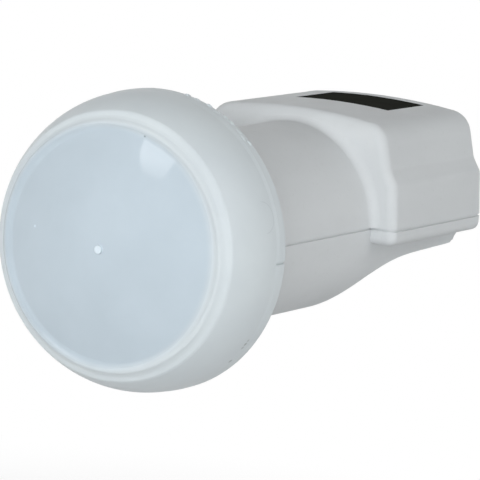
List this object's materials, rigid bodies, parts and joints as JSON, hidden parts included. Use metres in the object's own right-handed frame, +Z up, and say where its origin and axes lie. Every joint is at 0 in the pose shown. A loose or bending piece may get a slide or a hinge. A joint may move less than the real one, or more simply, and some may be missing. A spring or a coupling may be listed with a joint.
{
  "type": "satellite lnb",
  "caption": "Satellite dish LNB: domed translucent feed cap, round clamp neck, flat grey receiver box with crowned top, black label plate and rear F connector.",
  "frame": {"origin": "on the waveguide axis, half way along the round neck between the feed cap's rear rim and the box's front face", "axes": "+Y along the waveguide axis from the feed cap back to the F connector, +Z up through the crowned top, +X to the side on which the horizontal probe's lead stands"},
  "size_m": [0.0604, 0.1305, 0.0604],
  "materials": {
    "cap_plastic": "translucent pale blue-white moulded plastic, satin to gloss",
    "housing_plastic": "light grey moulded plastic, fine satin",
    "label_black": "bare black label plate",
    "cast_alloy": "as-cast aluminium alloy, dull",
    "seal_rubber": "soft black rubber",
    "board_laminate": "green laminate",
    "white_insulator": "white low-loss plastic",
    "plated_brass": "plated brass",
    "resonator_ceramic": "fired ceramic",
    "chip_black": "moulded black package",
    "can_aluminium": "drawn can",
    "screw_steel": "zinc-plated steel",
    "connector_nickel": "nickel-plated, turned"
  },
  "bodies": {
    "root": {"feed_cap": "cap_plastic", "cap_seal": "seal_rubber", "horn_casting": "cast_alloy", "upper_housing": "housing_plastic", "lower_housing": "housing_plastic", "label_plate": "label_black", "circuit_board": "board_laminate", "vertical_probe": "plated_brass", "vertical_probe_bush": "white_insulator", "horizontal_probe": "plated_brass", "horizontal_probe_bush": "white_insulator", "reflector_pin": "plated_brass", "low_band_resonator": "resonator_ceramic", "high_band_resonator": "resonator_ceramic", "resonator_spacers": "white_insulator", "tuning_screws": "plated_brass", "gain_transistors": "chip_black", "mixer_chip": "chip_black", "regulator": "chip_black", "filter_capacitors": "can_aluminium", "board_screws": "screw_steel", "chamber_cover": "cast_alloy", "cover_gasket": "seal_rubber", "cover_screws": "screw_steel", "f_connector_body": "connector_nickel", "connector_insulator": "white_insulator", "connector_contact": "plated_brass", "connector_seal": "seal_rubber"}
  },
  "joints": []
}
